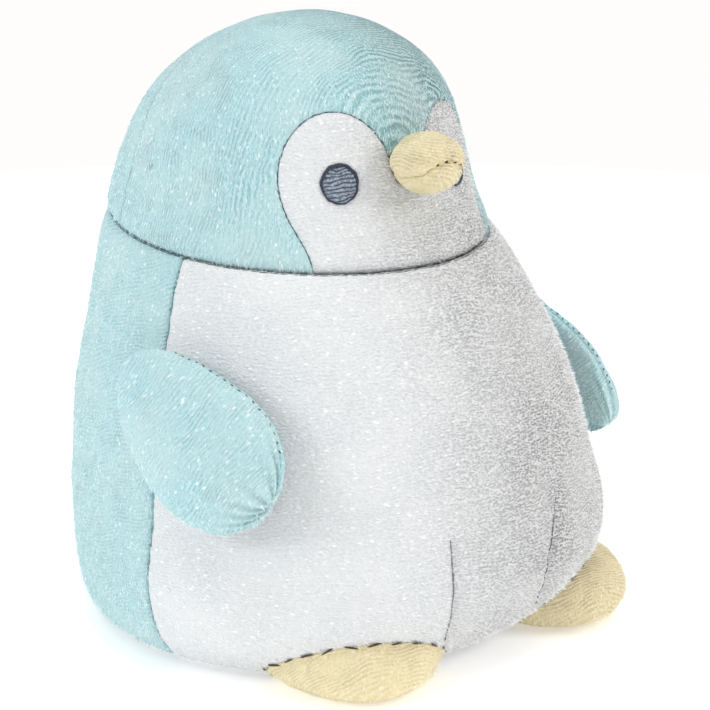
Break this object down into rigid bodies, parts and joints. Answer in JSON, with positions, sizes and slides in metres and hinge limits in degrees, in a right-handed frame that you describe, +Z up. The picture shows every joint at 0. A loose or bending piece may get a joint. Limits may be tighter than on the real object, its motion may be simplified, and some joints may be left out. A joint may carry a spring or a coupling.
{
  "type": "plush penguin",
  "caption": "Small sitting plush penguin: stuffed fabric body and head, pouch beak, sewn eyes, flippers and feet that swing on their seams.",
  "frame": {"origin": "middle of the flat seat it rests on", "axes": "+Z up, the penguin faces -Y, its own right side is -X"},
  "size_m": [0.164, 0.1478, 0.16],
  "materials": {
    "aqua_knit": "short brushed pile",
    "white_plush": "short brushed pile",
    "cream_knit": "short brushed pile",
    "navy_thread": "satin thread",
    "slate_thread": "satin thread",
    "fibre_filling": "loose fibre",
    "brown_thread": "thread",
    "aqua_thread": "thread",
    "cream_thread": "thread",
    "white_thread": "thread"
  },
  "bodies": {
    "torso": {"back_left_panel": "aqua_knit", "back_right_panel": "aqua_knit", "back_seam_thread": "aqua_thread", "beak_lower_panel": "cream_knit", "beak_mouth_thread": "cream_thread", "beak_root_thread": "cream_thread", "beak_stuffing": "fibre_filling", "beak_upper_panel": "cream_knit", "belly_panel": "white_plush", "body_stuffing": "fibre_filling", "dart_left_thread": "white_thread", "dart_right_thread": "white_thread", "eye_left_fill": "slate_thread", "eye_left_outline": "navy_thread", "eye_right_fill": "slate_thread", "eye_right_outline": "navy_thread", "face_panel": "white_plush", "face_seam_thread": "white_thread", "flipper_left_root_stitches": "aqua_thread", "flipper_right_root_stitches": "aqua_thread", "foot_left_stitches": "brown_thread", "foot_right_stitches": "brown_thread", "head_crown_panel": "aqua_knit", "head_rear_panel": "aqua_knit", "head_seam_thread": "aqua_thread", "head_stuffing": "fibre_filling", "neck_seam_thread": "aqua_thread", "seat_panel": "white_plush", "seat_seam_thread": "white_thread", "side_seam_left_thread": "aqua_thread", "side_seam_right_thread": "aqua_thread"},
    "flipper_left": {"flipper_left_inner": "aqua_knit", "flipper_left_outer": "aqua_knit", "flipper_left_stuffing": "fibre_filling"},
    "flipper_right": {"flipper_right_inner": "aqua_knit", "flipper_right_outer": "aqua_knit", "flipper_right_stuffing": "fibre_filling"},
    "foot_left": {"foot_left_sole": "cream_knit", "foot_left_stuffing": "fibre_filling", "foot_left_upper": "cream_knit"},
    "foot_right": {"foot_right_sole": "cream_knit", "foot_right_stuffing": "fibre_filling", "foot_right_upper": "cream_knit"}
  },
  "joints": [
    {"name": "flipper_right_lift", "type": "hinge", "parent": "torso", "child": "flipper_right", "pos_m": [-0.06326, -0.0168, 0.07925], "axis": [-0.367, 0.4619, -0.8074], "range_deg": [0, 60], "stiffness_Nm_per_rad": 0.02},
    {"name": "flipper_left_lift", "type": "hinge", "parent": "torso", "child": "flipper_left", "pos_m": [0.06621, -0.00722, 0.07198], "axis": [-0.1593, -0.7622, 0.6275], "range_deg": [0, 60], "stiffness_Nm_per_rad": 0.02},
    {"name": "foot_right_droop", "type": "hinge", "parent": "torso", "child": "foot_right", "pos_m": [-0.02558, -0.05161, 0.0005], "axis": [0.883, -0.4693, 0], "range_deg": [0, 15], "stiffness_Nm_per_rad": 0.03},
    {"name": "foot_left_droop", "type": "hinge", "parent": "torso", "child": "foot_left", "pos_m": [0.03324, -0.04668, 0.0005], "axis": [0.7926, 0.6098, 0], "range_deg": [0, 15], "stiffness_Nm_per_rad": 0.03}
  ]
}
